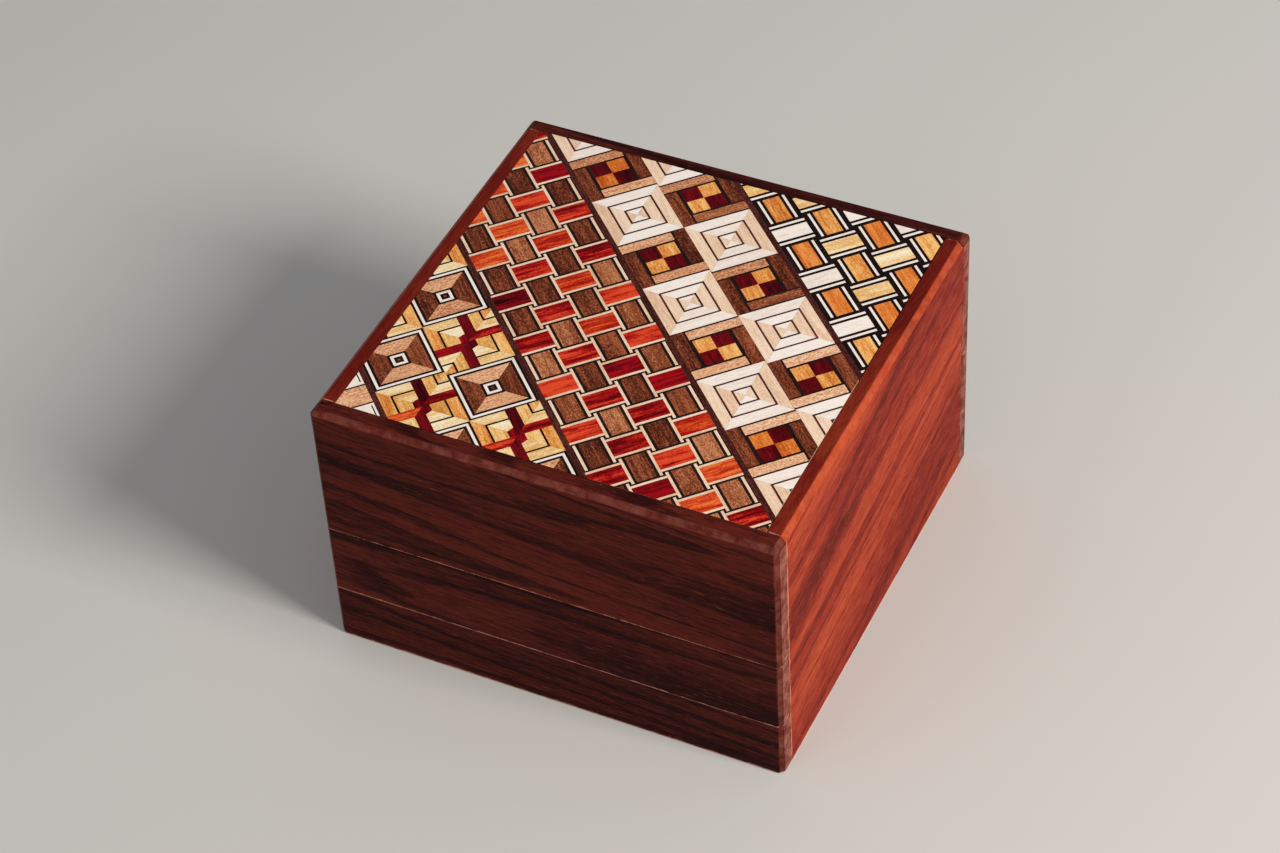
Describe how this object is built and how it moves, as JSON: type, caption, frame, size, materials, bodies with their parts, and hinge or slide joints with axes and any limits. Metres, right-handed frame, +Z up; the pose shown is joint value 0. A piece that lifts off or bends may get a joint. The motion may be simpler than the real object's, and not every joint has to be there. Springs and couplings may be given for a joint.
{
  "type": "wooden puzzle box",
  "caption": "Near-square wooden secret box with end boards that drop in steps, a sliding marquetry lid and an inner box.",
  "frame": {"origin": "centre of the underside, on the surface that the box stands on", "axes": "+Z up; the lid slides out towards -Y; the long boards without seams are the sides, at -X and +X"},
  "size_m": [0.1, 0.0988, 0.0633],
  "materials": {
    "red_hardwood": "oiled, fine straight grain",
    "pale_wood": "planed, unfinished",
    "black_wood": "planed, satin",
    "pink_wood": "planed, satin",
    "brown_wood": "planed, satin",
    "scarlet_wood": "planed, satin",
    "white_wood": "planed, satin",
    "yellow_wood": "planed, satin"
  },
  "bodies": {
    "case": {"side_wall_left": "red_hardwood", "side_wall_right": "red_hardwood", "bottom_panel": "pale_wood", "inner_floor": "pale_wood", "inner_wall_left": "pale_wood", "inner_wall_right": "pale_wood", "inner_wall_front": "pale_wood", "inner_wall_back": "pale_wood", "front_rail": "pale_wood", "back_rail": "pale_wood"},
    "lid": {"lid_core": "pale_wood", "lid_cleat": "pale_wood", "front_upper_board": "red_hardwood", "marquetry_front_corner": "pink_wood", "dividing_strip_front": "black_wood", "marquetry_tile_band": "brown_wood", "dividing_strip_tiles": "black_wood", "marquetry_weave_band": "scarlet_wood", "dividing_strip_weave": "black_wood", "marquetry_square_band": "white_wood", "dividing_strip_bricks": "black_wood", "marquetry_brick_corner": "yellow_wood"},
    "front_middle": {"front_middle_board": "red_hardwood"},
    "front_lower": {"front_lower_board": "red_hardwood"},
    "back_upper": {"back_upper_board": "red_hardwood"},
    "back_middle": {"back_middle_board": "red_hardwood"},
    "back_lower": {"back_lower_board": "red_hardwood"}
  },
  "joints": [
    {"name": "lid_slide", "type": "slide", "parent": "case", "child": "lid", "axis": [0, -1, 0], "range_m": [0, 0.082]},
    {"name": "front_middle_drop", "type": "slide", "parent": "case", "child": "front_middle", "axis": [0, 0, -1], "range_m": [0, 0.0042]},
    {"name": "front_lower_drop", "type": "slide", "parent": "front_middle", "child": "front_lower", "axis": [0, 0, -1], "range_m": [0, 0.0042]},
    {"name": "back_upper_drop", "type": "slide", "parent": "case", "child": "back_upper", "axis": [0, 0, -1], "range_m": [0, 0.0042]},
    {"name": "back_middle_drop", "type": "slide", "parent": "back_upper", "child": "back_middle", "axis": [0, 0, -1], "range_m": [0, 0.0042]},
    {"name": "back_lower_drop", "type": "slide", "parent": "back_middle", "child": "back_lower", "axis": [0, 0, -1], "range_m": [0, 0.0042]}
  ]
}
